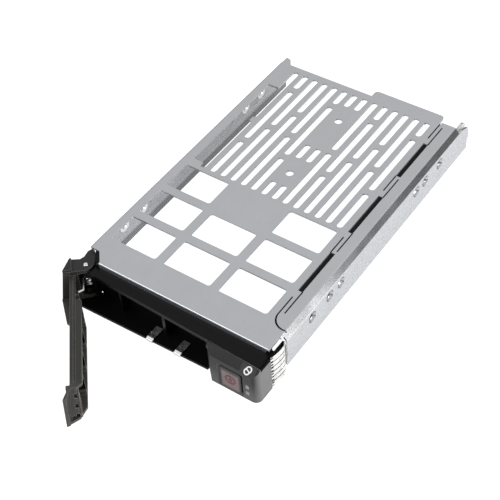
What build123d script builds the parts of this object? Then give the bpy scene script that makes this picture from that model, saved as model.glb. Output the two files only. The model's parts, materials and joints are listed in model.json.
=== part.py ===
from build123d import *
import os
from math import radians, cos, sin

os.makedirs("parts", exist_ok=True)

# A carrier for a 3.5 inch drive, seen with its plate on top.
# X runs across the tray, Y from the bezel to the tongue, Z up from the bezel's foot.
# The datum is the middle of the plate's front edge, at the bezel's foot.

# driving dimensions, mm
plate_top = 24.5          # the plate's upper face over the bezel's foot
sheet = 1.0               # tray sheet
drive_half = 50.8         # half width of the drive
side_room = 2.7           # between the drive and each side wall
wall_depth = 20.2         # the walls hang this far under the plate's upper face
hole_pitch = 101.6        # drive side holes, front to rear
hole_front = (30.3, 44.7) # the two sets of side holes, from the plate's front edge
hole_rise = 6.35          # drive side holes over the drive's seat
rear_margin = 20.0        # plate behind the last side hole
window_cols, window_rows = 3, 3
web = 4.5                 # between two windows
window_front = 15.8
slot_front = 77.0         # front end of the slots
slot_count = 14
slot_web = 2.75           # between two slots
slot_rib = 3.2            # ribs across the slots
slit_w = 0.7
ledge_drop = 3.0          # the bezel's ledge lies this far under the plate's upper face
lever_open = 49.2         # degrees between the open lever and the bezel
pin_r = 0.9
button_w, button_h = 11.0, 12.4
lens_room = 8.9           # beside the button, for the two lenses
latch_room = 9.5          # on its other side, for the latch arm
button_travel = 2.5
fit = 0.05                # running clearance of pins and plungers
gap = 0.35                # free clearance between moulded pieces

seat = plate_top - sheet              # the drive's seat, the plate's lower face
wall_foot = plate_top - wall_depth
hole_z = seat - hole_rise
ledge_top = plate_top - ledge_drop
wall_half = drive_half + side_room + sheet
plate_half = wall_half - 2.4          # half width of the flat plate
plate_length = hole_front[1] + hole_pitch + rear_margin
pivot_x, pivot_y = 5.7 - wall_half, -1.8
block_right = wall_half - 0.9
button_x = block_right - lens_room - button_w / 2
block_x = (button_x - button_w / 2 - latch_room, block_right)   # the control block's left and right sides
lever_length = block_x[0] + 1.6 - pivot_x                       # the closed lever ends before the block


def z_under(d):
    """Height of a level d under the plate's upper face."""
    return plate_top - d


# Tray
shoulder_drop = 3.3
joggle_drop, joggle_in = 13.3, 0.4
bend_r = 1.1
left_wall_start = 11.8
right_wall_start = 10.4
wall_rear = plate_length + 10.6
left_rear = plate_length + 4.4
flange_depth = ledge_drop - 0.1
flange_x = (pivot_x + 6.7, drive_half - 0.3)        # the flange under the front edge, left and right ends
slit_x, slit_gap = plate_half - 7.9, 2.3
tongue = (3.6, slit_x - 0.6, 4.8)     # from, to, and how far past the rear edge
dimple_depth, dimple_r, screw_r = 1.2, 3.4, 1.9
plain_dimples = (hole_front[1] + 9.5, hole_front[0] + hole_pitch - 8.8)
corner_notch = (-pivot_x - 6.6, -pivot_x - 2.1, 6.4)   # near the front edge, at its rear end, and its depth

window_left = 4.35 - plate_half
window_w = (slit_x - 4.05 - window_left - (window_cols - 1) * web) / window_cols
window_l = (slot_front - 2.4 - window_front - (window_rows - 1) * web) / window_rows

slot_x = (12.2 - plate_half, slit_x - 5.45)            # first and last column
slot_pitch = (slot_x[1] - slot_x[0]) / (slot_count - 1)
slot_w = slot_pitch - slot_web
slot_rear = plate_length - 3.8
first_rib = slot_front + 27.5
rib_pitch = (slot_rear - 13.0 - first_rib) / 3
pad_cols = (slot_count // 2 - 1, slot_count // 2)
pads = ((slot_front + 10.4, slot_front + 29.9), (slot_rear - 44.7, slot_rear - 10.3))
pad_holes = (slot_front + 18.8, slot_rear - 22.0)
side_openings = ((34.7, 61.8), (slot_front - 0.2, 104.7), (120.8, slot_rear - 14.4))

half_path = [
    (0, plate_top), (plate_half, plate_top), (wall_half, z_under(shoulder_drop)),
    (wall_half, z_under(joggle_drop)), (wall_half - joggle_in, z_under(joggle_drop + 1.1)),
    (wall_half - joggle_in, wall_foot),
]


def wall_dimple(side, y, z, pierced):
    """A dimple pressed inwards round a screw hole in a side wall."""
    inward = Plane(origin=(side * wall_half, y, z), x_dir=(0, 1, 0), z_dir=(-side, 0, 0))
    with BuildSketch(inward.offset(sheet / 2)) as boss:
        Circle(dimple_r)
    with BuildSketch(inward) as mouth:
        Circle(dimple_r - 0.4)
    extrude(boss.sketch, amount=dimple_depth + sheet / 2)
    extrude(mouth.sketch, amount=dimple_depth, taper=24, mode=Mode.SUBTRACT)
    if pierced:
        with BuildSketch(inward) as hole:
            Circle(screw_r)
        extrude(hole.sketch, amount=dimple_depth + 3 * sheet, mode=Mode.SUBTRACT)


def slot_runs(col):
    """Y ranges of the slots in one column: ribs cross the columns in a repeating pattern."""
    if col in pad_cols:
        solid = pads
    else:
        rows = ((1,), (0, 3), (1,), (2,))[col % 4]
        middles = [first_rib + rib_pitch * row for row in rows]
        solid = [(y - slot_rib / 2, y + slot_rib / 2) for y in middles]
    ends = [slot_front] + [y for pair in solid for y in pair] + [slot_rear]
    return zip(ends[::2], ends[1::2])


with BuildPart() as tray:
    with BuildSketch(Plane.XZ):
        with BuildLine():
            pts = [(-x, z) for x, z in reversed(half_path[1:])] + half_path[1:]
            FilletPolyline(*pts, radius=bend_r)
            offset(amount=sheet, side=Side.RIGHT)
        make_face()
    extrude(amount=-wall_rear)
    # the plate ends before the walls do, but for its tongue
    with BuildSketch(Plane.XY.offset(plate_top + 1)):
        with Locations((0, plate_length + 20)):
            Rectangle(2 * wall_half + 4, 40)
    extrude(amount=-(1 + shoulder_drop), mode=Mode.SUBTRACT)
    with BuildSketch(Plane.XY.offset(plate_top)):
        with Locations(((tongue[0] + tongue[1]) / 2, plate_length + tongue[2] / 2 - 2)):
            RectangleRounded(tongue[1] - tongue[0], tongue[2] + 4, 2.0)
        with BuildLine():
            Polyline((-plate_half + 0.2, plate_length - 1), (-plate_half + 0.2, left_rear),
                     (-plate_half + 3.0, left_rear - 0.6), (-plate_half + 5.6, plate_length),
                     (-plate_half + 5.6, plate_length - 1), close=True)
        make_face()
    extrude(amount=-sheet)
    # front flange under the plate's edge
    with BuildSketch(Plane.XZ):
        with Locations(((flange_x[0] + flange_x[1]) / 2, plate_top - flange_depth / 2)):
            Rectangle(flange_x[1] - flange_x[0], flange_depth)
    extrude(amount=-sheet)
    fillet(tray.edges().filter_by(Axis.X).filter_by_position(Axis.Y, -0.01, 0.01)
           .filter_by_position(Axis.Z, plate_top - 0.01, plate_top + 0.01), 0.8)
    # corner notch for the lever's ear, and where each wall starts
    with BuildSketch(Plane.XY.offset(plate_top + 1)):
        with BuildLine():
            near, far, depth = corner_notch
            Polyline((-wall_half - 2, -2), (-near, -2), (-near, 1.0), (-far, depth - 0.1),
                     (-wall_half - 2, depth), close=True)
        make_face()
    extrude(amount=-wall_depth - 2, mode=Mode.SUBTRACT)
    for side, start in ((-1, left_wall_start), (1, right_wall_start)):
        with BuildSketch(Plane.XY.offset(z_under(sheet + 0.2))):
            with Locations((side * (plate_half + 1), start / 2 - 1)):
                Rectangle(6.0, start + 2)
        extrude(amount=-wall_depth, mode=Mode.SUBTRACT)
        with BuildSketch(Plane.XY.offset(plate_top + 1)):
            with Locations((side * (plate_half + 3), start / 2 - 2)):
                Rectangle(6.0, start)
        extrude(amount=-wall_depth, mode=Mode.SUBTRACT)
    with BuildSketch(Plane.XY.offset(z_under(shoulder_drop))):
        with Locations((-wall_half, left_rear + 20)):
            Rectangle(8, 40)
    extrude(amount=-wall_depth, mode=Mode.SUBTRACT)
    # the right wall's rear end: rounded top corner
    with BuildSketch(Plane.YZ.offset(wall_half + 1)):
        with BuildLine():
            Polyline((wall_rear - 7, plate_top), (wall_rear - 7, z_under(shoulder_drop)),
                     (wall_rear - 1.5, z_under(shoulder_drop + 2)), (wall_rear, z_under(shoulder_drop + 6)),
                     (wall_rear + 1, z_under(shoulder_drop + 6)), (wall_rear + 1, plate_top), close=True)
        make_face()
    extrude(amount=-4, mode=Mode.SUBTRACT)
    # everything that is open through the plate, punched at one stroke
    with BuildSketch(Plane.XY.offset(plate_top + 1)):
        # windows: the one in the middle of the last row stays closed
        for row in range(window_rows):
            for col in range(window_cols):
                if (col, row) != (1, window_rows - 1):
                    with Locations((window_left + window_w / 2 + col * (window_w + web),
                                    window_front + window_l / 2 + row * (window_l + web))):
                        RectangleRounded(window_w, window_l, 1.4)
        # rear slots
        for col in range(slot_count):
            for y_a, y_b in slot_runs(col):
                with Locations((slot_x[0] + col * slot_pitch, (y_a + y_b) / 2)):
                    SlotOverall(y_b - y_a, slot_w, rotation=90)
        # the long opening beside the left wall
        with Locations(((slot_x[0] - plate_half + 4.5) / 2, (slot_front + slot_rear) / 2 - 6.25)):
            Rectangle(slot_x[0] + plate_half - 4.5, slot_rear - slot_front - 18.5)
        # three openings along the right edge
        for y_a, y_b in side_openings:
            with Locations((slit_x + slit_gap / 2, (y_a + y_b) / 2)):
                Rectangle(slit_gap + 0.2, y_b - y_a)
        # narrow slits that leave four flexure legs between the openings
        (o1, o2), (o3, o4), (o5, o6) = side_openings
        for x, y_a, y_b in ((slit_x, 18.6, o1 - 4.3), (slit_x + slit_gap, 20.5, o1 + 0.3),
                            (slit_x, o2 - 0.3, o2 + 11.2), (slit_x + slit_gap, o2 + 1.6, o3 + 0.2),
                            (slit_x, o4 + 4.1, o5 + 0.2), (slit_x + slit_gap, o4 - 0.3, o5 - 1.6),
                            (slit_x, o6 + 4.3, plate_length + 1),
                            (slit_x + slit_gap, o6 - 0.3, plate_length - 3.5)):
            with Locations((x, (y_a + y_b) / 2)):
                Rectangle(slit_w, y_b - y_a)
        with BuildLine():
            ThreePointArc((slit_x + slit_w / 2, 18.7), (slit_x + 1.9, 15.0), (plate_half + 0.6, 13.0))
            Line((plate_half + 0.6, 13.0), (plate_half + 0.6, 13.0 - slit_w))
            ThreePointArc((plate_half + 0.6, 13.0 - slit_w), (slit_x + 1.3, 14.4), (slit_x - slit_w / 2, 18.7))
            Line((slit_x - slit_w / 2, 18.7), (slit_x + slit_w / 2, 18.7))
        make_face()
    extrude(amount=-(1 + 2 * sheet), mode=Mode.SUBTRACT)
    # two holes in the pads between the middle slots
    with Locations(*[Location(((slot_x[0] + slot_x[1]) / 2, y, plate_top)) for y in pad_holes]):
        Hole(radius=2.0, depth=sheet)
    # side holes in pressed dimples, and the plain dimples beside them
    for side in (-1, 1):
        for y_front in hole_front:
            for y in (y_front, y_front + hole_pitch):
                wall_dimple(side, y, hole_z, True)
        for y in plain_dimples:
            wall_dimple(side, y, hole_z, False)

tray.part.label = "tray"
export_step(tray.part, "parts/tray.step")

# Bezel frame
ledge_t = 2.0
floor_t = 1.4
back_y = sheet + 0.2                  # the back panel stands behind the plate's flange
back_t = 2.0
ledge_low = ledge_top - ledge_t
panel_x = (6.2 - drive_half, drive_half + 0.8)         # left and right ends of the back panel
ledge_x = (panel_x[0] + 0.7, panel_x[1] + 0.6)
ledge_front = (-5.1, -8.5)            # the ledge's front edge at its left and right ends
lip_front = (-10.2, -8.4)
block_front = -12.0                   # Y of the block's front face
lever_top = ledge_low - 0.4
lever_foot = 2.5
ear_t = 2.0
lug_r = 3.3
arm_x = pivot_x + 5.6                 # right side of the arm that carries the lever
spring_z = (lever_foot + 6.2, lever_top - 3.2)
rib_x = (panel_x[0] + 15.6, panel_x[0] + 41.0, block_x[0] - 1.3)
vent_h, vent_w, vent_pitch = 9.0, 2.4, 4.3
pipe_r = 0.7
pipe_side = drive_half + fit + pipe_r
pipe_level = (wall_foot + 7.8, wall_foot + 4.0)        # the two light pipes beside the drive
tooth_z = ledge_low - 5.3              # level of the latch tooth
light_exit = ((block_x[1] - 5.3, pipe_level[0] - 2.9), (block_x[1] - 5.3, pipe_level[1] - 3.2))
cheek_x = wall_half - sheet - joggle_in


def front_line(pair, x):
    """Y of a front edge that runs straight from the ledge's left end to its right end."""
    return pair[0] + (pair[1] - pair[0]) * (x - ledge_x[0]) / (ledge_x[1] - ledge_x[0])


with BuildPart() as bezel_frame:
    # floor and lip of the recess
    with BuildSketch(Plane.XY):
        with BuildLine():
            Polyline((pivot_x - 2.4, lip_front[0] - 0.1), (block_x[0] - 0.6, lip_front[1] + 0.1),
                     (block_x[0] - 0.6, back_y), (pivot_x - 1.8, back_y), (pivot_x - 3.0, pivot_y), close=True)
        make_face()
    extrude(amount=floor_t)
    # ledge over the recess and the control block
    with BuildSketch(Plane.XY.offset(ledge_low)):
        with BuildLine():
            Polyline((ledge_x[0], ledge_front[0]), (ledge_x[1], ledge_front[1]), (ledge_x[1], -fit),
                     (ledge_x[0], -fit), close=True)
        make_face()
    extrude(amount=ledge_t)
    # back panel, and what ties the ledge and the floor to it under the flange
    with BuildSketch(Plane.XZ.offset(-back_y)):
        with Locations(((panel_x[0] + panel_x[1]) / 2, seat / 2)):
            Rectangle(panel_x[1] - panel_x[0], seat)
    extrude(amount=-back_t)
    with BuildSketch(Plane.XZ.offset(fit)):
        with Locations(((ledge_x[0] + ledge_x[1]) / 2, ledge_low + (ledge_t - 0.2) / 2)):
            Rectangle(ledge_x[1] - ledge_x[0], ledge_t - 0.2)
    extrude(amount=-(back_y + 2 * fit))
    # ribs of the recess and its right end wall
    for x, t, depth in zip(rib_x, (0.9, 1.6, 1.4), (3.0, 3.4, 4.4)):
        with BuildSketch(Plane.XY.offset(floor_t - 0.2)):
            with Locations((x, back_y - (depth + back_y) / 2)):
                Rectangle(t, depth + back_y)
        extrude(amount=ledge_low - floor_t + 0.4)
    # vents through the back panel, between the ribs
    with BuildSketch(Plane.XZ.offset(-back_y + 1)):
        for x0, n in ((panel_x[0] + 3.2, 3), (rib_x[0] + 3.6, 5), (rib_x[1] + 3.4, 5)):
            for k in range(n):
                with Locations((x0 + vent_pitch * k, (floor_t + ledge_low) / 2 + 2.95)):
                    Rectangle(vent_w, vent_h)
    extrude(amount=-(back_t + 2), mode=Mode.SUBTRACT)
    # arm and the two lugs that carry the lever's pin
    with BuildSketch(Plane.XY.offset(lever_foot + ear_t + 0.2)):
        with BuildLine():
            Polyline((pivot_x, pivot_y - 1.2), (arm_x, pivot_y - 1.2), (arm_x, back_y + back_t),
                     (pivot_x + 2.4, back_y + back_t), (pivot_x + 1.9, pivot_y + 3.2), (pivot_x, pivot_y + 3.2),
                     close=True)
        make_face()
        with Locations((pivot_x, pivot_y)):
            Circle(lug_r)
    extrude(amount=ledge_top - ear_t - 0.2 - (lever_foot + ear_t + 0.2))
    with BuildSketch(Plane.XY.offset(spring_z[0])):
        with Locations((pivot_x - 1.2, pivot_y)):
            Rectangle(2 * lug_r + 2.2, 2 * lug_r + 0.2)
    extrude(amount=spring_z[1] - spring_z[0], mode=Mode.SUBTRACT)
    with Locations((pivot_x, pivot_y, ledge_top)):
        Hole(radius=pin_r + fit, depth=plate_top)
    # right cheek, inside the wall and under the gasket
    with BuildSketch(Plane.XY.offset(0.2)):
        with BuildLine():
            Polyline((panel_x[1], -1.0), (cheek_x, -1.0), (cheek_x, right_wall_start + 6.5),
                     (cheek_x - 0.7, right_wall_start + 6.5), (cheek_x - 0.7, back_y + back_t),
                     (panel_x[1] - 2.2, back_y + back_t), (panel_x[1] - 2.2, back_y), (panel_x[1], back_y),
                     close=True)
        make_face()
    extrude(amount=z_under(3.6) - 0.2)
    # the cheek's tab behind the gasket is lower than the cheek
    with BuildSketch(Plane.YZ.offset(wall_half + 1)):
        with Locations((right_wall_start + 5, (wall_foot + 2.9) / 2 - 1.5)):
            Rectangle(11.0, wall_foot + 2.9)
        with Locations((right_wall_start + 5, z_under(shoulder_drop + 2))):
            Rectangle(11.0, 9.0)
    extrude(amount=-5, mode=Mode.SUBTRACT)
    # way through for the light pipes and for the latch tooth
    with BuildSketch(Plane.XZ.offset(-back_y + 1)):
        for x, z in light_exit:
            with Locations((x, z)):
                SlotOverall(3.4, 2 * pipe_r + 0.5)
    extrude(amount=-(back_t + 2), mode=Mode.SUBTRACT)
    with BuildSketch(Plane.YZ.offset(block_x[0] - 3)):
        with Locations((-3.4, tooth_z)):
            Rectangle(2.6, 3.4)
    extrude(amount=3, mode=Mode.SUBTRACT)
    # left bracket behind the lever's claw, with a cheek against the wall
    with BuildSketch(Plane.XY.offset(wall_foot + 1.2)):
        with BuildLine():
            Polyline((pivot_x + 2.4, back_y + back_t - 0.2), (panel_x[0] + 0.2, back_y + back_t - 0.2),
                     (panel_x[0] + 0.2, left_wall_start + 1.6), (1.4 - cheek_x, left_wall_start + 1.6),
                     (1.4 - cheek_x, left_wall_start + 8.6), (-cheek_x, left_wall_start + 8.6),
                     (-cheek_x, left_wall_start), (pivot_x + 2.4, left_wall_start), close=True)
        make_face()
    extrude(amount=z_under(joggle_drop + 1.2) - wall_foot - 1.2)
    # thin end post that fills the plate's corner notch behind the lever's ear
    with BuildSketch(Plane.XY.offset(wall_foot + 1.2)):
        with BuildLine():
            post = ((0.6, 10.2), (6.3, 2.9), (6.3, 1.5), (5.3, 1.3), (1.3, 5.4), (-1.3, 9.6))
            Polyline(*[(pivot_x + x, pivot_y + y) for x, y in post], close=True)
        make_face()
    extrude(amount=seat - gap - wall_foot - 1.2)
    fillet(bezel_frame.edges().filter_by(Axis.Z).filter_by_position(Axis.X, pivot_x - 2.5, pivot_x - 2.3)
           .filter_by_position(Axis.Z, 0, floor_t), 0.8)

bezel_frame.part.label = "bezel_frame"
export_step(bezel_frame.part, "parts/bezel_frame.step")

# Control block
facet_out, facet_down = 3.6, 3.4      # the sloping facet over the button
block_foot = 0.1
button_z = block_foot + 1.7 + button_h / 2
front_t = 2.2
hollow_h = ledge_low - block_foot - 3.8
flange_t, flange_grow = 1.0, 1.1      # the button's flange behind the front wall
flange_front = block_front + front_t + 0.1
flange_back = flange_front + flange_t
arm_y = (flange_back + 2.0, flange_back + 3.4)         # the latch arm at rest
arm_slot = (arm_y[0] - 0.3, arm_y[1] + button_travel + 1.4)
lens_w, lens_h = 1.7, 2.4

with BuildPart() as control_block:
    with BuildSketch(Plane.XY.offset(block_foot)):
        with BuildLine():
            Polyline((block_x[0], front_line(ledge_front, block_x[0]) - 0.1), (block_x[0] + 4.4, block_front),
                     (block_x[1], block_front), (block_x[1], -1.1), (panel_x[1] - 0.2, -1.1),
                     (panel_x[1] - 0.2, back_y - fit),
                     (block_x[0], back_y - fit), close=True)
        make_face()
    extrude(amount=ledge_top - block_foot)
    upright = control_block.edges().filter_by(Axis.Z)
    fillet(upright.filter_by_position(Axis.Y, block_front - 0.1, block_front + 0.1).filter_by_position(Axis.X, block_x[1] - 0.1, block_x[1] + 0.1), 3.2)
    # the facet slopes down from the ledge's front edge
    with BuildSketch(Plane.YZ.offset(block_x[0] - 2)):
        with BuildLine():
            Polyline((block_front - 1, ledge_top + 1), (block_front + facet_out, ledge_top + 1),
                     (block_front + facet_out, ledge_top), (block_front, ledge_top - facet_down),
                     (block_front - 1, ledge_top - facet_down), close=True)
        make_face()
    extrude(amount=block_x[1] - block_x[0] + 4, mode=Mode.SUBTRACT)
    # room under the ledge
    with BuildSketch(Plane.XY.offset(ledge_low - 0.05)):
        with BuildLine():
            Polyline((block_x[0] - 2, front_line(ledge_front, block_x[0] - 2) - 0.08),
                     (block_x[1] + 2, front_line(ledge_front, block_x[1] + 2) - 0.08),
                     (block_x[1] + 2, 4), (block_x[0] - 2, 4), close=True)
        make_face()
    extrude(amount=6, mode=Mode.SUBTRACT)
    # hollow behind the front wall
    with BuildSketch(Plane.XZ.offset(-block_front - front_t)):
        with Locations(((block_x[0] + 1.2 + block_x[1]) / 2, block_foot + 1.4 + hollow_h / 2)):
            Rectangle(block_x[1] - block_x[0] - 5.4, hollow_h)
    extrude(amount=-20, mode=Mode.SUBTRACT)
    # the button's window with its chamfered frame
    with BuildSketch(Plane.XZ.offset(-block_front + 1)):
        with Locations((button_x, button_z)):
            RectangleRounded(button_w + 2 * gap, button_h + 2 * gap, 1.0)
    extrude(amount=-(front_t + 2), mode=Mode.SUBTRACT)
    with BuildSketch(Plane.XZ.offset(-block_front)):
        with Locations((button_x, button_z)):
            RectangleRounded(button_w + 2 * gap + 2.0, button_h + 2 * gap + 2.0, 1.6)
    extrude(amount=-1.0, taper=42, mode=Mode.SUBTRACT)
    # lens seats, the slot of the latch tooth and the way out of the light pipes
    with BuildSketch(Plane.XZ.offset(-block_front + 1)):
        for x, z in light_exit:
            with Locations((x, z)):
                RectangleRounded(lens_w + 2 * fit, lens_h + 2 * fit, 0.5)
    extrude(amount=-(front_t + 1.4), mode=Mode.SUBTRACT)
    with BuildSketch(Plane.YZ.offset(block_x[0] - 1)):
        with Locations(((arm_slot[0] + arm_slot[1]) / 2, tooth_z)):
            Rectangle(arm_slot[1] - arm_slot[0], 3.0)
    extrude(amount=6, mode=Mode.SUBTRACT)
    with BuildSketch(Plane.XY.offset(light_exit[1][1] - 3.1)):
        with Locations((light_exit[0][0] + 2.1, 0)):
            Rectangle(4.0, 2.6)
    extrude(amount=light_exit[0][1] - light_exit[1][1] + 5.9, mode=Mode.SUBTRACT)

control_block.part.label = "control_block"
export_step(control_block.part, "parts/control_block.step")

# plane of the sloping facet, for the symbol that lies on it
symbol_w, symbol_l = 7.6, 4.7
facet_mid = 0.4                       # how far up the facet the symbol's middle lies
facet = Plane(origin=(block_x[1] - 5.2, block_front + facet_mid * facet_out,
                      ledge_top - (1 - facet_mid) * facet_down),
              x_dir=(1, 0, 0), z_dir=(0, -facet_down, facet_out))
with BuildPart() as symbol_plate:
    with BuildSketch(facet):
        RectangleRounded(symbol_w, symbol_l, 0.6)
    extrude(amount=0.15)
symbol_plate.part.label = "symbol_plate"
export_step(symbol_plate.part, "parts/symbol_plate.step")

with BuildPart() as drive_symbol:
    with BuildSketch(facet.offset(0.15)):
        SlotOverall(4.4, 3.0, rotation=62)
        SlotOverall(3.2, 1.8, rotation=62, mode=Mode.SUBTRACT)
        Rectangle(0.55, 2.2, rotation=62)
    extrude(amount=0.12)
drive_symbol.part.label = "drive_symbol"
export_step(drive_symbol.part, "parts/drive_symbol.step")

# Release button
with BuildPart() as release_button:
    with BuildSketch(Plane.XZ.offset(-block_front)):
        with Locations((button_x, button_z)):
            RectangleRounded(button_w, button_h, 0.8)
    extrude(amount=-(front_t + 0.3))
    chamfer(release_button.faces().sort_by(Axis.Y)[0].edges(), 0.35)
    with BuildSketch(Plane.XZ.offset(-flange_front)):
        with Locations((button_x, button_z + 0.5)):
            Rectangle(button_w + 2 * flange_grow, button_h + 2 * flange_grow - 1.0)
    extrude(amount=-flange_t)
    # hub that holds the spring
    with BuildSketch(Plane.XZ.offset(-flange_back + 0.1)):
        with Locations((button_x, button_z)):
            Circle(1.5)
    extrude(amount=-1.6)
release_button.part.label = "release_button"
export_step(release_button.part, "parts/release_button.step")

with BuildPart() as button_ring:
    with BuildSketch(Plane.XZ.offset(-block_front)):
        with Locations((button_x, button_z)):
            Circle(2.9)
            Circle(2.0, mode=Mode.SUBTRACT)
    extrude(amount=0.12)
button_ring.part.label = "button_ring"
export_step(button_ring.part, "parts/button_ring.step")

with BuildPart() as button_dot:
    with BuildSketch(Plane.XZ.offset(-block_front)):
        with Locations((button_x, button_z)):
            Circle(1.0)
    extrude(amount=0.12)
button_dot.part.label = "button_dot"
export_step(button_dot.part, "parts/button_dot.step")

# the latch arm runs from the button's flange to the recess and ends in a tooth
with BuildPart() as latch_arm:
    with BuildSketch(Plane.XY.offset(tooth_z - 1.2)):
        with BuildLine():
            x0 = button_x - button_w / 2 - flange_grow
            Polyline((x0 + 3.0, flange_back), (x0 + 3.0, arm_y[0]), (x0, arm_y[1]), (block_x[0] - 0.8, arm_y[1]),
                     (block_x[0] - 1.6, arm_y[0] + 0.4), (block_x[0] - 0.3, arm_y[0]), (x0 - 0.6, arm_y[0]),
                     (x0 + 0.8, flange_back), close=True)
        make_face()
    extrude(amount=2.4)
latch_arm.part.label = "latch_arm"
export_step(latch_arm.part, "parts/latch_arm.step")


def coil(r, wire, z0, z1, turns, centre, direction):
    """A helical spring, swept from a square wire to keep its faces few."""
    with BuildPart() as spring:
        with BuildLine() as run:
            Helix(pitch=(z1 - z0) / turns, height=z1 - z0, radius=r, center=centre, direction=direction)
        with BuildSketch(Plane(origin=run.line @ 0, z_dir=run.line % 0)):
            Rectangle(1.8 * wire, 1.8 * wire)
        sweep()
    return spring.part


spring_from = flange_back + 0.3
spring_to = back_y - 0.3
button_coil = coil(2.0, 0.3, spring_from, spring_to, 5, (button_x, spring_from, button_z), (0, 1, 0))
button_coil.label = "button_spring"
export_step(button_coil, "parts/button_spring.step")

# Lenses and light pipes
for name, (x, z), level, rear_z, rear_h in (
        ("activity", light_exit[0], pipe_level[0], z_under(6.2), 5.6),
        ("status", light_exit[1], pipe_level[1], z_under(12.6), 3.4)):
    with BuildPart() as lens:
        with BuildSketch(Plane.XZ.offset(-block_front + 0.15)):
            with Locations((x, z)):
                RectangleRounded(lens_w, lens_h, 0.45)
        extrude(amount=-(front_t + 0.15))
        chamfer(lens.faces().sort_by(Axis.Y)[0].edges(), 0.12)
    lens.part.label = "lens_" + name
    export_step(lens.part, "parts/lens_" + name + ".step")
    start, turn = block_front + front_t, back_y + back_t
    rear0, rear1 = hole_front[1] + hole_pitch + 5.0, plate_length - 1.0
    with BuildPart() as light_pipe:
        with BuildLine():
            a, b = Vector(x, start, z), Vector(x, turn + 0.2, z)
            c, d = Vector(pipe_side, 13.0, level), Vector(pipe_side, rear0, level)
            e, f = Vector(pipe_side, rear1, rear_z), Vector(pipe_side, plate_length + 5.0, rear_z)
            Line(a, b)
            Bezier(b, b + Vector(0, 4.0, 0), c - Vector(0, 4.0, 0), c)
            Line(c, d)
            Bezier(d, d + Vector(0, 4.5, 0), e - Vector(0, 4.5, 0), e)
            Line(e, f)
        with BuildSketch(Plane(origin=a, x_dir=(1, 0, 0), z_dir=(0, 1, 0))):
            Rectangle(2 * pipe_r, 2 * pipe_r)
        sweep()
        # the rear end spreads into a flat blade with a rounded tip
        with BuildSketch(Plane.YZ.offset(pipe_side - pipe_r)):
            with Locations((plate_length + 5.6, rear_z)):
                RectangleRounded(9.6, rear_h, rear_h / 2 - 0.05 if rear_h < 4 else 2.2)
        extrude(amount=2 * pipe_r)
    light_pipe.part.label = "light_pipe_" + name
    export_step(light_pipe.part, "parts/light_pipe_" + name + ".step")

# rail that holds both pipes against the right wall
rail_y = (right_wall_start + 7.4, hole_front[1] + hole_pitch + 3.8)
rail_x = pipe_side + pipe_r + 0.02
rail_mid = (pipe_level[0] + pipe_level[1]) / 2
with BuildPart() as pipe_rail:
    with BuildSketch(Plane.XZ.offset(-rail_y[0])):
        with Locations((rail_x + 0.3, rail_mid)):
            Rectangle(0.6, pipe_level[0] - pipe_level[1] + 2 * pipe_r + 1.24)
    extrude(amount=-(rail_y[1] - rail_y[0]))
    for k in range(5):
        y = rail_y[0] + 6 + k * (rail_y[1] - rail_y[0] - 12) / 4
        with BuildSketch(Plane.XZ.offset(-y + 2)):
            for level in pipe_level:
                with Locations((rail_x - 0.35, level + pipe_r + 0.32), (rail_x - 0.35, level - pipe_r - 0.32)):
                    Rectangle(1.6, 0.6)
            with Locations(((rail_x + 0.5 + cheek_x) / 2, rail_mid - 0.6)):
                Rectangle(cheek_x - rail_x - 0.5, 1.6)
        extrude(amount=-4)
pipe_rail.part.label = "pipe_rail"
export_step(pipe_rail.part, "parts/pipe_rail.step")

# thin dark liner under the openings and slits of the right edge
with BuildPart() as edge_liner:
    with BuildSketch(Plane.XY.offset(seat)):
        with Locations(((slit_x - 1.6 + plate_half - 1.0) / 2, (12.2 + plate_length - 0.6) / 2)):
            Rectangle(plate_half - 1.0 - slit_x + 1.6, plate_length - 0.6 - 12.2)
    extrude(amount=-0.5)
edge_liner.part.label = "edge_liner"
export_step(edge_liner.part, "parts/edge_liner.step")

# Contact clips on the recess floor
for side, x in (("left", rib_x[1] - 4.7), ("right", rib_x[1] + 11.0)):
    y0 = front_line(lip_front, x) - 0.05
    with BuildPart() as clip:
        with BuildSketch(Plane.YZ.offset(x - 1.8)):
            with BuildLine():
                Polyline((y0, 0.5), (y0, floor_t + 0.05), (y0 + 1.2, floor_t + 0.45),
                         (y0 + 3.2, floor_t + 0.45), (y0 + 5.2, floor_t + 0.25), (-1.6, floor_t + 0.25))
                offset(amount=0.4, side=Side.LEFT)
            make_face()
        extrude(amount=3.6)
    clip.part.label = "contact_clip_" + side
    export_step(clip.part, "parts/contact_clip_" + side + ".step")

# Gasket of sprung fingers
gasket_t = 0.25
finger_count = 6
with BuildPart() as emi_gasket:
    with BuildSketch(Plane.XY.offset(1.0)):
        with BuildLine():
            x0, x1 = cheek_x + 0.02, wall_half - gasket_t
            Polyline((x0, -0.9), (x0 + 0.5, 0.6), (x1 - 0.1, 3.6), (x1 + 0.1, 5.8), (x1 - 0.1, 8.0), (x0, 9.4),
                     (x0, right_wall_start - 0.15))
            offset(amount=gasket_t, side=Side.RIGHT)
        make_face()
    extrude(amount=z_under(3.9) - 1.0)
    pitch = (z_under(3.9) - 1.0) / finger_count
    with BuildSketch(Plane.YZ.offset(wall_half + 2)):
        for k in range(1, finger_count):
            with Locations((3.6, 1.0 + k * pitch)):
                Rectangle(9.4, 0.6)
    extrude(amount=-5, mode=Mode.SUBTRACT)
emi_gasket.part.label = "emi_gasket"
export_step(emi_gasket.part, "parts/emi_gasket.step")

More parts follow.
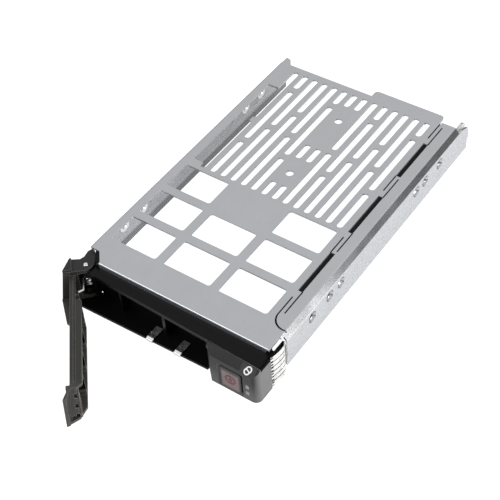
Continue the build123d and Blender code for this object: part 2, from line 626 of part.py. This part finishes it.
# Lever
# drawn about its pin with the bar along the local X axis and the bezel on the +Y side
lever_axes = dict(x_dir=(cos(radians(lever_open)), -sin(radians(lever_open)), 0), z_dir=(0, 0, 1))
bar_in, bar_out = -2.5, -7.9          # inner and outer faces of the bar
bar_wall, flange_plate = 1.3, 1.4
bar_from, inner_from = 3.7, 18.5      # where the bar leaves the claw, and its upper flange's inner part
claw_side = bar_from - 0.5            # the bar's pieces start inside the claw
bend_x = lever_length - 8.6           # from here the tip flares outwards
tip_foot = (lever_length + 1.2, -11.7)
tip_top_x = lever_length - 1.0
nose = (lever_length - 2.1, -5.7)     # inner corner of the tip at its foot
claw_top, claw_foot = (bar_from - 0.2, -10.7), (bar_from + 0.5, -13.9)
ramp_end = (lever_length - 1.2, lever_foot + 4.0)
rung_first, rung_pitch, rung_t = 21.5, 13.0, 0.8


def lever_plane(z):
    return Plane(origin=(pivot_x, pivot_y, z), **lever_axes)


def lever_side(y):
    """A plane along the bar and upright, at a distance y from the pin, with X along the bar and Z as its Y."""
    middle = lever_plane(0)
    return Plane(origin=middle.from_local_coords(Vector(0, y, 0)), x_dir=middle.x_dir, z_dir=-middle.y_dir)


with BuildPart() as lever:
    # upper and lower ears
    for z in (lever_foot, ledge_top - ear_t):
        with BuildSketch(lever_plane(z)):
            with BuildLine():
                Polyline((bar_from, -5.9), claw_top, (-4.4, -7.2), (-4.0, -2.6), (-5.3, -0.7), (-8.5, 1.1),
                         (-9.8, 3.3), (-8.3, 4.4), (0.2, 3.8))
                ThreePointArc((0.2, 3.8), (2.7, 1.7), (bar_from - 0.2, -0.8))
                Line((bar_from - 0.2, -0.8), (bar_from, -5.9))
            make_face()
        extrude(amount=ear_t)
    # claw: full height outside the circle swept by the lugs
    with BuildSketch(lever_plane(lever_foot)):
        with BuildLine():
            Polyline((-9.8, 3.3), (-8.3, 4.4), (-3.2, 0.4), (-2.6, -3.6), (bar_from, -4.0), claw_top,
                     (-4.4, -7.2), (-4.0, -2.6), (-5.3, -0.7), (-8.5, 1.1), close=True)
        make_face()
        Circle(lug_r + 0.6, mode=Mode.SUBTRACT)
    extrude(amount=ledge_top - lever_foot)
    # the claw's outer face leans out to the foot
    with BuildSketch(lever_plane(lever_foot)) as lean_foot:
        with BuildLine():
            Polyline((-4.0, -6.6), (bar_from, -6.6), claw_foot, (-4.0, -10.2), close=True)
        make_face()
    with BuildSketch(lever_plane(ledge_top)) as lean_top:
        with BuildLine():
            Polyline((-4.0, -6.6), (bar_from - 0.2, -6.6), claw_top, (-4.0, -7.4), close=True)
        make_face()
    loft([lean_foot.sketch, lean_top.sketch])
    # bar: the lower flange with its gusset, the upper flange that starts behind the spring, the outer wall
    with BuildSketch(lever_plane(lever_foot)):
        with BuildLine():
            Polyline((claw_side, -6.0), (9.4, -4.8), (inner_from + 3.4, bar_in - 0.2), (bend_x + 1.1, bar_in),
                     nose, tip_foot, (bend_x, bar_out), (inner_from + 4, bar_out), (inner_from + 2, -9.6),
                     (inner_from, -11.7), claw_foot, (claw_side, -13.0), close=True)
        make_face()
    extrude(amount=flange_plate)
    with BuildSketch(lever_plane(lever_top - flange_plate)):
        with BuildLine():
            Polyline((claw_side, bar_out), (bend_x, bar_out), (bend_x + 4.0, -9.5), (bend_x + 1.4, -6.2),
                     (bend_x + 2.2, -5.2), (bend_x - 0.1, bar_in), (inner_from + 1.0, bar_in),
                     (inner_from, bar_in - 0.8), (inner_from, bar_in - 2.8), (claw_side, bar_in - 2.8), close=True)
        make_face()
    extrude(amount=flange_plate)
    with BuildSketch(lever_plane(lever_foot)):
        with BuildLine():
            Polyline((claw_side, bar_out), (bend_x, bar_out), tip_foot, (tip_foot[0] - 0.4, tip_foot[1] + 1.6),
                     (bend_x - 0.4, bar_out + bar_wall), (claw_side, bar_out + bar_wall), close=True)
        make_face()
    extrude(amount=lever_top - lever_foot)
    # the end of the tip slants back towards the top
    with BuildSketch(lever_side(tip_foot[1] - 1)):
        with BuildLine():
            Polyline((tip_top_x, lever_top + 1), (tip_foot[0], lever_foot), (tip_foot[0] + 3, lever_foot),
                     (tip_foot[0] + 3, lever_top + 1), close=True)
        make_face()
    extrude(amount=-5, mode=Mode.SUBTRACT)
    # rungs and diagonals between the flanges on the open side
    with BuildSketch(lever_plane(lever_foot + 1.0)):
        for k in range(4):
            x = rung_first + k * rung_pitch
            with Locations((x, (bar_in + bar_out) / 2)):
                Rectangle(rung_t, bar_in - bar_out - 1.0)
            if k < 3:
                with BuildLine():
                    Polyline((x - 0.2, bar_in - 2.4), (x + 0.8, bar_in - 2.4), (x + rung_pitch, bar_in - 0.2),
                             (x + rung_pitch - 1.0, bar_in - 0.2), close=True)
                make_face()
    extrude(amount=3.4)
    with BuildSketch(lever_plane(lever_foot + 1.0)):
        with Locations(*[(rung_first + (k + 0.5) * rung_pitch, bar_in - 3.3) for k in range(-1, 3)]):
            Rectangle(rung_t, 4.0)
    extrude(amount=lever_top - lever_foot - 1.6)
    # inside the tip a ramp falls from the upper flange to the foot
    with BuildSketch(lever_side(-9.6)):
        with BuildLine():
            Polyline((bend_x + 0.4, lever_top), (bend_x + 2.0, lever_top), ramp_end,
                     (ramp_end[0] - 1.4, ramp_end[1] - 0.4), (bend_x + 0.4, lever_top - 1.6), close=True)
        make_face()
    extrude(amount=-4.2)
    # steps beside the ramp and the thin wall that closes them
    slope = (lever_top - ramp_end[1]) / (ramp_end[0] - bend_x - 2.0)
    for k in range(3):
        x = bend_x + 3.2 + 1.9 * k
        with BuildSketch(lever_plane(lever_top - slope * (1.2 + 1.9 * k))):
            with Locations((x, -6.1)):
                Rectangle(1.5, 1.5)
        extrude(amount=-3.0, mode=Mode.SUBTRACT)
    with BuildSketch(lever_side(-5.4)):
        with BuildLine():
            Polyline((bend_x + 0.4, lever_top - 0.6), (bend_x + 1.4, lever_top - 1.4),
                     (ramp_end[0] - 0.6, ramp_end[1]), (ramp_end[0] - 1.6, lever_foot + 0.5),
                     (bend_x + 0.4, lever_foot + 0.5), close=True)
        make_face()
    extrude(amount=-0.8)
    # a shallow groove along the bar's upper face
    with BuildSketch(lever_plane(lever_top)):
        with Locations(((bar_from + 1.0 + bend_x - 1.0) / 2, bar_out + 2.05)):
            Rectangle(bend_x - bar_from - 2.0, 0.9)
    extrude(amount=-0.4, mode=Mode.SUBTRACT)
    with BuildSketch(lever_plane(ledge_top)):
        Circle(pin_r + fit)
    extrude(amount=-plate_top, mode=Mode.SUBTRACT)
lever.part.label = "lever"
export_step(lever.part, "parts/lever.step")

# pin with a low head over the upper ear, and the ring that keeps it from below
with BuildPart() as lever_pin:
    with BuildSketch(Plane.XY.offset(lever_foot - 1.0)):
        with Locations((pivot_x, pivot_y)):
            Circle(pin_r)
    extrude(amount=ledge_top + 0.05 - lever_foot + 1.0)
    with BuildSketch(Plane.XY.offset(ledge_top + 0.03)):
        with Locations((pivot_x, pivot_y)):
            Circle(pin_r + 0.15)
    extrude(amount=0.4)
    chamfer(lever_pin.faces().sort_by(Axis.Z)[-1].edges(), 0.15)
lever_pin.part.label = "lever_pin"
export_step(lever_pin.part, "parts/lever_pin.step")

with BuildPart() as pin_ring:
    with BuildSketch(Plane.XY.offset(lever_foot - 0.75)):
        with Locations((pivot_x, pivot_y)):
            Circle(2.0)
            Circle(pin_r, mode=Mode.SUBTRACT)
    extrude(amount=0.6)
pin_ring.part.label = "pin_ring"
export_step(pin_ring.part, "parts/pin_ring.step")

# torsion spring round the pin, between the lugs, with the leg that hooks behind the bar
wire, coil_r = 0.32, 2.1
coil_z = (spring_z[0] + 0.5, spring_z[1] - 0.5)
coil_turns = 4 + (270 - lever_open) / 360
leg = ((-0.3, -coil_r), (9.7, -coil_r + 0.1), (10.8, -4.3))
with BuildPart() as lever_spring:
    add(coil(coil_r, wire, coil_z[0], coil_z[1], coil_turns, (pivot_x, pivot_y, coil_z[0]), (0, 0, 1)))
    for a, b in zip(leg, leg[1:]):
        start, end = (lever_plane(coil_z[1]).from_local_coords(Vector(x, y, 0)) for x, y in (a, b))
        with BuildSketch(Plane(origin=start, x_dir=(0, 0, 1), z_dir=end - start)):
            Rectangle(1.8 * wire, 1.8 * wire)
        extrude(amount=(end - start).length + wire / 2)
lever_spring.part.label = "lever_spring"
export_step(lever_spring.part, "parts/lever_spring.step")
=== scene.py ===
import bpy
import json
from math import sin, cos, radians
from mathutils import Matrix, Vector

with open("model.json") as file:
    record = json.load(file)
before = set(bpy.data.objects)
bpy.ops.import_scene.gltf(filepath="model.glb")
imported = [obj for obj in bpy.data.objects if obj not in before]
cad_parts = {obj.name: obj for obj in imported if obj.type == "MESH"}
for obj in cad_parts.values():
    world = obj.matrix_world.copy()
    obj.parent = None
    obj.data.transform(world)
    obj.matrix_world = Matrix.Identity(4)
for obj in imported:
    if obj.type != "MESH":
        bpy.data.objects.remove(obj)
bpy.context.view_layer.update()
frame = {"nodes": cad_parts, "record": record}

MM = 0.001
nodes = frame["nodes"]


# Places that the finishes follow, read from the frame, in millimetres

def box(name):
    """A piece's lowest and highest corner."""
    places = [vertex.co / MM for vertex in nodes[name].data.vertices]
    return [[pick(place[i] for place in places) for i in range(3)] for pick in (min, max)]


def screw_holes(side):
    """The (y, z) of each screw hole in one side wall, two to a mount."""
    holes = []
    for mount in frame["record"]["mounts"]:
        if mount["name"].startswith("side_screws_" + side):
            y, z = (coordinate / MM for coordinate in mount["pos_m"][1:])
            half_spacing = mount["dims"]["spacing_x_mm"] / 2
            holes += [(y - half_spacing, z), (y + half_spacing, z)]
    return holes


# Shader helpers: each material is a small node tree on Object coordinates

class Finish:
    """A material whose nodes are added one after the other."""

    noise_span = (0.3, 0.7)     # where most of a noise's values lie

    def __init__(self, name, color, metallic=0.0, roughness=0.5, **sockets):
        self.material = bpy.data.materials.new(name)
        self.material.use_nodes = True
        self.tree = self.material.node_tree
        self.shader = self.tree.nodes["Principled BSDF"]
        self.shader.inputs["Base Color"].default_value = (*color, 1)
        self.shader.inputs["Metallic"].default_value = metallic
        self.shader.inputs["Roughness"].default_value = roughness
        for socket, value in sockets.items():
            self.shader.inputs[socket.replace("_", " ")].default_value = value
        self.coords = self.tree.nodes.new("ShaderNodeTexCoord")

    def add(self, kind, **settings):
        node = self.tree.nodes.new(kind)
        for key, value in settings.items():
            setattr(node, key, value)
        return node

    def link(self, source, target):
        self.tree.links.new(source, target)
        return target

    def stretched(self, scale):
        """Object coordinates with their own scale on each axis."""
        mapping = self.add("ShaderNodeMapping")
        mapping.inputs["Scale"].default_value = scale
        self.link(self.coords.outputs["Object"], mapping.inputs["Vector"])
        return mapping.outputs["Vector"]

    def noise(self, scale, detail=3.0, roughness=0.55, space=None):
        node = self.add("ShaderNodeTexNoise")
        node.inputs["Scale"].default_value = scale
        node.inputs["Detail"].default_value = detail
        node.inputs["Roughness"].default_value = roughness
        self.link(space or self.coords.outputs["Object"], node.inputs["Vector"])
        return node.outputs["Fac"]

    def spread(self, value, low, high, to_low, to_high, smooth=False):
        """A value's stretch from low to high mapped to another, and held at its ends."""
        node = self.add("ShaderNodeMapRange", interpolation_type="SMOOTHSTEP" if smooth else "LINEAR")
        for socket, number in zip(("From Min", "From Max", "To Min", "To Max"), (low, high, to_low, to_high)):
            node.inputs[socket].default_value = number
        self.link(value, node.inputs["Value"])
        return node.outputs["Result"]

    def vary(self, noise, to_low, to_high):
        """A noise's usual span mapped to two values."""
        return self.spread(noise, *self.noise_span, to_low, to_high)

    def math(self, operation, a, b):
        node = self.add("ShaderNodeMath", operation=operation)
        for socket, value in zip(node.inputs, (a, b)):
            if isinstance(value, (int, float)):
                socket.default_value = value
            else:
                self.link(value, socket)
        return node.outputs[0]

    def product(self, first, *others):
        """Masks or values multiplied together."""
        for other in others:
            first = self.math("MULTIPLY", first, other)
        return first

    def magnitude(self, value):
        """A value without its sign."""
        return self.math("ABSOLUTE", value, 0)

    def mix(self, factor, a, b):
        """A colour between two, each a colour or an output of another node."""
        node = self.add("ShaderNodeMix", data_type="RGBA")
        self.link(factor, node.inputs["Factor"])
        for socket, value in zip([s for s in node.inputs if s.type == "RGBA"], (a, b)):
            if isinstance(value, tuple):
                socket.default_value = (*value, 1)
            else:
                self.link(value, socket)
        return [s for s in node.outputs if s.type == "RGBA"][0]

    def axis(self, name, source="Object"):
        """One axis of the place, in metres, or of the normal."""
        node = self.add("ShaderNodeSeparateXYZ")
        self.link(self.coords.outputs[source], node.inputs[0])
        return node.outputs[name]

    def below(self, name, limit, blur):
        """1 where a coordinate is under a limit, 0 over it, with a soft edge; in millimetres."""
        return self.spread(self.axis(name), (limit - blur) * MM, (limit + blur) * MM, 1, 0, smooth=True)

    def above(self, name, limit, blur):
        """1 where a coordinate is over a limit, 0 under it, with a soft edge; in millimetres."""
        return self.math("SUBTRACT", 1, self.below(name, limit, blur))

    def beyond_distance(self, name, middle, reach, blur):
        """1 farther than a reach from a middle along one axis; in millimetres."""
        offset = self.magnitude(self.math("SUBTRACT", self.axis(name), middle * MM))
        return self.spread(offset, (reach - blur) * MM, (reach + blur) * MM, 0, 1, smooth=True)

    def spots(self, places, reach, blur):
        """1 within a reach of any of the (y, z) places, seen along X; in millimetres."""
        flat = self.stretched((0, 1, 1))
        total = None
        for y, z in places:
            node = self.add("ShaderNodeVectorMath", operation="DISTANCE")
            node.inputs[1].default_value = (0, y * MM, z * MM)
            self.link(flat, node.inputs[0])
            spot = self.spread(node.outputs["Value"], (reach - blur) * MM, (reach + blur) * MM, 1, 0, smooth=True)
            total = self.math("MAXIMUM", total, spot) if total else spot
        return total

    def edges(self, radius, share):
        """A share along the piece's edges, where the bevelled normal leaves the face's own."""
        edge_highlight, flat = 0.78, 0.93     # cosines between the two normals, at the full painted edge highlight and at none
        bevel = self.add("ShaderNodeBevel", samples=6)
        bevel.inputs["Radius"].default_value = radius * MM
        face = self.add("ShaderNodeNewGeometry")
        dot = self.add("ShaderNodeVectorMath", operation="DOT_PRODUCT")
        self.link(bevel.outputs["Normal"], dot.inputs[0])
        self.link(face.outputs["True Normal"], dot.inputs[1])
        return self.spread(dot.outputs["Value"], edge_highlight, flat, share, 0)

    def color(self, output):
        self.link(output, self.shader.inputs["Base Color"])

    def roughness(self, output):
        self.link(output, self.shader.inputs["Roughness"])

    def bump(self, height, strength, distance):
        node = self.add("ShaderNodeBump")
        node.inputs["Strength"].default_value = strength
        node.inputs["Distance"].default_value = distance
        self.link(height, node.inputs["Height"])
        self.link(node.outputs["Normal"], self.shader.inputs["Normal"])


def shade(color, factor):
    """A colour made darker or lighter."""
    return tuple(min(1, factor * c) for c in color)


# Finishes, with their limits in millimetres

def zinc():
    """Rolled galvanised sheet: cloudy spangle, fine rolling lines, painted shade along the left wall's foot, a
    painted glare and a painted dark reflection on the right bend, and screw seats painted near white as light
    shining through their holes.
    """
    left_face = box("tray")[0][0]
    foot_top, foot_reach = 8.6, 2.5     # the left wall's foot with painted shade, inside that wall
    seat_radius, seat_reach = 3.3, 5.5
    bend_normal = 0.81                  # X of the right bend's normal
    bright_end, dark_start, dark_full = 50, 56, 165
    # painted shade for the foot, painted dark reflection and painted glare for the right bend, painted light
    # through the screw holes
    foot_shade_grey, painted_dark_reflection, painted_glare, hole_light = (
        (0.26, 0.265, 0.275), (0.05, 0.05, 0.055), (0.88, 0.89, 0.91), (0.97, 0.97, 0.98))

    f = Finish("zinc_sheet", (0.5, 0.51, 0.53), metallic=0.85, roughness=0.25)
    cloud = f.noise(60, detail=4)
    fleck = f.noise(420, detail=2, roughness=0.7)
    grain = f.noise(900, detail=2, space=f.stretched((1, 0.08, 1)))

    # the walls' faces are more mottled than the plate
    upright = f.spread(f.magnitude(f.axis("X", "Normal")), 0.9, 0.98, 0, 1)
    mottle = f.product(f.spread(fleck, 0.35, 0.65, -0.14, 0.14), upright)
    tone = f.math("ADD", f.vary(cloud, -0.10, 0.10), f.vary(grain, -0.04, 0.04))
    share = f.math("ADD", f.math("ADD", tone, mottle), 0.5)
    clean = f.mix(share, (0.43, 0.44, 0.455), (0.57, 0.585, 0.61))

    # painted shade: the left wall's inner face is painted darker along its foot
    painted_foot_shade = f.product(f.below("Z", foot_top, 0.5), f.below("X", left_face + foot_reach, 0.5))

    # painted reflection: the right bend is painted dark towards the rear, from behind the front pair of holes,
    # and painted bright before it as a glare
    slope = f.spread(f.magnitude(f.math("SUBTRACT", f.axis("X", "Normal"), bend_normal)), 0.05, 0.14, 1, 0)
    rear = f.spread(f.axis("Y"), bright_end * MM, dark_full * MM, 0.25, 0.62)
    dark_bend = f.product(rear, f.above("Y", dark_start, 2), slope)
    bright_bend = f.product(slope, f.below("Y", bright_end, 8))

    # painted light: the screw seats in the left wall are painted near white, as light shining through their holes
    left = f.below("X", left_face + seat_reach, 0.5)
    lit_seats = f.product(left, f.spots(screw_holes("left"), seat_radius, 0.3))

    color = clean
    for mask, paint in ((painted_foot_shade, foot_shade_grey), (dark_bend, painted_dark_reflection), (bright_bend, painted_glare), (lit_seats, hole_light)):
        color = f.mix(mask, color, paint)
    f.color(color)
    f.roughness(f.math("ADD", f.vary(cloud, 0.20, 0.27), f.product(f.vary(fleck, 0, 0.12), upright)))
    f.bump(f.math("ADD", grain, f.product(fleck, upright, 1.4)), 0.2, 0.00003)
    return f.material


def moulded(name, color, roughness, grain=0.2, sheen=0.5, finish=None):
    """A moulded plastic: fine even grain, and a tone that varies a little."""
    swing = 0.14
    f = Finish(name, color, roughness=roughness, Specular_IOR_Level=sheen)
    cloud = f.noise(45, detail=3)
    tone = f.mix(f.vary(cloud, 0.35, 0.65), shade(color, 1 - swing), shade(color, 1 + swing))
    f.color(finish(f, tone) if finish else tone)
    f.roughness(f.vary(cloud, roughness - 0.04, roughness + 0.05))
    f.bump(f.noise(2600, detail=2), grain, 0.00003)
    return f.material


def paler_foot(f, tone):
    """The lever is paler towards its foot, has painted lamp light on its end, is dark on the top flange, and has
    a painted highlight along its edges.
    """
    foot, end, flange = 8, -55, 21
    black, pale_foot_and_lit_end, edge_highlight = (0.010, 0.010, 0.010), (0.038, 0.036, 0.034), (0.30, 0.29, 0.28)
    # paler towards the foot, and painted lamp light on the end
    pale = f.math("MAXIMUM", f.below("Z", foot, 4), f.below("Y", end, 3))
    body = f.mix(pale, f.mix(f.below("Z", flange, 1), black, tone), pale_foot_and_lit_end)
    # painted highlight along the edges
    return f.mix(f.edges(0.35, 0.6), body, edge_highlight)


def paler_side(f, tone):
    """The control block has painted light on its right side, a painted floor reflection towards its foot, and a
    painted highlight along its edges.
    """
    foot = 8
    floor_reflection_grey, lit_side_grey, edge_highlight = (0.09, 0.09, 0.092), (0.115, 0.115, 0.117), (0.22, 0.22, 0.225)
    # painted light on the side facing the lamp, and a painted floor reflection near the foot
    side = f.spread(f.axis("X", "Normal"), 0.35, 0.95, 0, 1)
    body = f.mix(side, f.mix(f.below("Z", foot, 7), tone, floor_reflection_grey), lit_side_grey)
    # painted highlight along the edges
    return f.mix(f.edges(0.35, 0.9), body, edge_highlight)


def painted_rim_shade(f, tone):
    """The button's face has painted shade along its sides, more so at the top."""
    side_rim, top_rim, blur = 2.1, 2.9, 0.4
    (left, _, _), (right, _, top) = box("release_button")
    sides = f.beyond_distance("X", (left + right) / 2, (right - left) / 2 - side_rim, blur)
    rim = f.math("MAXIMUM", sides, f.above("Z", top - top_rim, blur))
    # painted shade colour
    return f.mix(rim, tone, (0.03, 0.028, 0.029))


def crinkled_steel():
    """Thin gasket sheet: crinkled, with the dark holes of its perforated fold along the front."""
    hole_pitch, fold_rear = 2.1, 0.3
    f = Finish("gasket_steel", (0.86, 0.86, 0.85), metallic=1.0, roughness=0.3)
    dent = f.noise(320, detail=3, roughness=0.65)
    steel = f.mix(f.spread(dent, 0.32, 0.56, 0, 1), (0.62, 0.61, 0.60), (0.92, 0.92, 0.91))
    row = f.math("PINGPONG", f.product(f.axis("Z"), 1 / (hole_pitch * MM)), 0.5)
    holes = f.product(f.spread(row, 0.24, 0.30, 0, 1), f.below("Y", fold_rear, 0.25))
    f.color(f.mix(holes, steel, (0.02, 0.02, 0.02)))
    f.roughness(f.vary(dent, 0.22, 0.42))
    f.bump(dent, 0.5, 0.0004)
    return f.material


def drawn_steel(name, color, roughness):
    """Drawn or rolled bright steel with a slight streak."""
    f = Finish(name, color, metallic=1.0, roughness=roughness)
    streak = f.noise(300, detail=2, space=f.stretched((1, 1, 0.1)))
    f.roughness(f.vary(streak, roughness - 0.03, roughness + 0.04))
    return f.material


def printed(name, color):
    """Matt ink with a faintly uneven cover."""
    f = Finish(name, color, roughness=0.55)
    f.color(f.mix(f.vary(f.noise(900), 0, 1), shade(color, 0.9), color))
    return f.material


def clear_plastic():
    """Lenses and light pipes: clear, slightly frosted."""
    f = Finish("clear_plastic", (0.62, 0.62, 0.6), roughness=0.16, Transmission_Weight=0.55, IOR=1.49)
    f.roughness(f.vary(f.noise(220), 0.12, 0.24))
    return f.material


finishes = {
    "zinc_sheet": zinc(),
    "black_plastic": moulded("black_plastic", (0.0035, 0.0035, 0.004), 0.34, sheen=0.12),
    "grey_plastic": moulded("grey_plastic", (0.0055, 0.0055, 0.006), 0.34, sheen=0.26, finish=paler_side),
    "lever_plastic": moulded("lever_plastic", (0.019, 0.018, 0.017), 0.4, sheen=0.4, finish=paler_foot),
    "button_plastic": moulded("button_plastic", (0.18, 0.132, 0.137), 0.42, finish=painted_rim_shade),
    "mark_red": printed("mark_red", (0.16, 0.045, 0.05)),
    "mark_white": printed("mark_white", (0.85, 0.85, 0.85)),
    "symbol_ground": printed("symbol_ground", (0.02, 0.02, 0.02)),
    "clear_plastic": clear_plastic(),
    "bright_steel": drawn_steel("bright_steel", (0.82, 0.82, 0.82), 0.26),
    "spring_steel": drawn_steel("spring_steel", (0.9, 0.9, 0.9), 0.3),
    "liner_black": moulded("liner_black", (0.004, 0.004, 0.005), 0.6, sheen=0.15),
}
own_finish = {"emi_gasket": crinkled_steel()}   # pieces whose finish isn't their material's
for part in frame["record"]["subparts"]:
    mesh = nodes[part["node"]].data
    mesh.materials.clear()
    mesh.materials.append(own_finish.get(part["node"]) or finishes[part["material_slot"]])


# Camera, floor and light

def photo_camera():
    """The camera at the photograph's place, in millimetres and degrees."""
    frame_px, focal_px = 500, 1171.87
    place = Vector((239.04, -244.55, 415.45))
    azimuth, elevation, roll = (radians(angle) for angle in (38.219, 46.834, -4.715))
    back = Vector((sin(azimuth) * cos(elevation), -cos(azimuth) * cos(elevation), sin(elevation)))
    level = Vector((cos(azimuth), sin(azimuth), 0))
    rise = back.cross(level)
    right = level * cos(roll) + rise * sin(roll)
    up = back.cross(right)
    lens = bpy.data.cameras.new("camera")
    lens.sensor_width = 36
    lens.lens = focal_px / frame_px * lens.sensor_width
    lens.clip_start = 0.01
    camera = bpy.data.objects.new("camera", lens)
    camera.matrix_world = Matrix.Translation(place * MM) @ Matrix((right, up, back)).transposed().to_4x4()
    bpy.context.scene.collection.objects.link(camera)
    bpy.context.scene.camera = camera


def floor():
    """A white floor that glows where the camera looks at it, and a little in reflections."""
    half, glow_strength = 6.0, 1.3
    direct_share, mirrored_share = 0.8, 0.3
    corners = [(-half, -half, 0), (half, -half, 0), (half, half, 0), (-half, half, 0)]
    mesh = bpy.data.meshes.new("floor")
    mesh.from_pydata(corners, [], [(0, 1, 2, 3)])
    obj = bpy.data.objects.new("floor", mesh)
    bpy.context.scene.collection.objects.link(obj)
    f = Finish("floor", (0.86, 0.86, 0.86), roughness=0.9)
    path = f.add("ShaderNodeLightPath")
    glow = f.add("ShaderNodeEmission")
    glow.inputs["Strength"].default_value = glow_strength
    direct = f.math("MAXIMUM", path.outputs["Is Camera Ray"], path.outputs["Is Transmission Ray"])
    share = f.math("MAXIMUM", f.product(direct, direct_share),
                   f.product(path.outputs["Is Glossy Ray"], mirrored_share))
    blend = f.add("ShaderNodeMixShader")
    f.link(share, blend.inputs[0])
    f.link(f.shader.outputs[0], blend.inputs[1])
    f.link(glow.outputs[0], blend.inputs[2])
    f.link(blend.outputs[0], f.tree.nodes["Material Output"].inputs["Surface"])
    mesh.materials.append(f.material)


def lamp(name, azimuth, height, distance, size, watts):
    """A soft box that looks at the tray's middle, in degrees and metres, azimuth from +X towards +Y."""
    target = Vector((0, 0.07, 0.01))
    a, h = radians(azimuth), radians(height)
    place = target + distance * Vector((cos(a) * cos(h), sin(a) * cos(h), sin(h)))
    light = bpy.data.lights.new(name, "AREA")
    light.shape = "RECTANGLE"
    light.size, light.size_y = size
    light.energy = watts
    obj = bpy.data.objects.new(name, light)
    obj.rotation_euler = (target - place).to_track_quat("-Z", "Y").to_euler()
    obj.location = place
    bpy.context.scene.collection.objects.link(obj)


def studio():
    """Pale surroundings, darker near the horizon in reflections, and plain white to the camera."""
    rise = (0.16, 0.6)          # Z of the direction where the brightening starts and ends
    strength = (0.06, 0.79)     # under and over it
    world = bpy.data.worlds.new("studio")
    bpy.context.scene.world = world
    world.use_nodes = True
    tree = world.node_tree
    coords = tree.nodes.new("ShaderNodeTexCoord")
    parts = tree.nodes.new("ShaderNodeSeparateXYZ")
    ramp = tree.nodes.new("ShaderNodeMapRange")
    ramp.interpolation_type = "SMOOTHSTEP"
    for socket, number in zip(("From Min", "From Max", "To Min", "To Max"), rise + strength):
        ramp.inputs[socket].default_value = number
    tree.links.new(coords.outputs["Generated"], parts.inputs[0])
    tree.links.new(parts.outputs["Z"], ramp.inputs["Value"])
    path = tree.nodes.new("ShaderNodeLightPath")
    seen = tree.nodes.new("ShaderNodeMix")
    seen.inputs["B"].default_value = 1.0
    tree.links.new(path.outputs["Is Camera Ray"], seen.inputs["Factor"])
    tree.links.new(ramp.outputs["Result"], seen.inputs["A"])
    tree.links.new(seen.outputs["Result"], tree.nodes["Background"].inputs["Strength"])
    tree.nodes["Background"].inputs["Color"].default_value = (1, 1, 1, 1)


photo_camera()
floor()
studio()
lamp("key", azimuth=4, height=24, distance=1.0, size=(0.42, 0.36), watts=10)
lamp("fill", azimuth=240, height=42, distance=0.9, size=(0.6, 0.5), watts=2.2)
bpy.context.scene.view_settings.view_transform = "Standard"
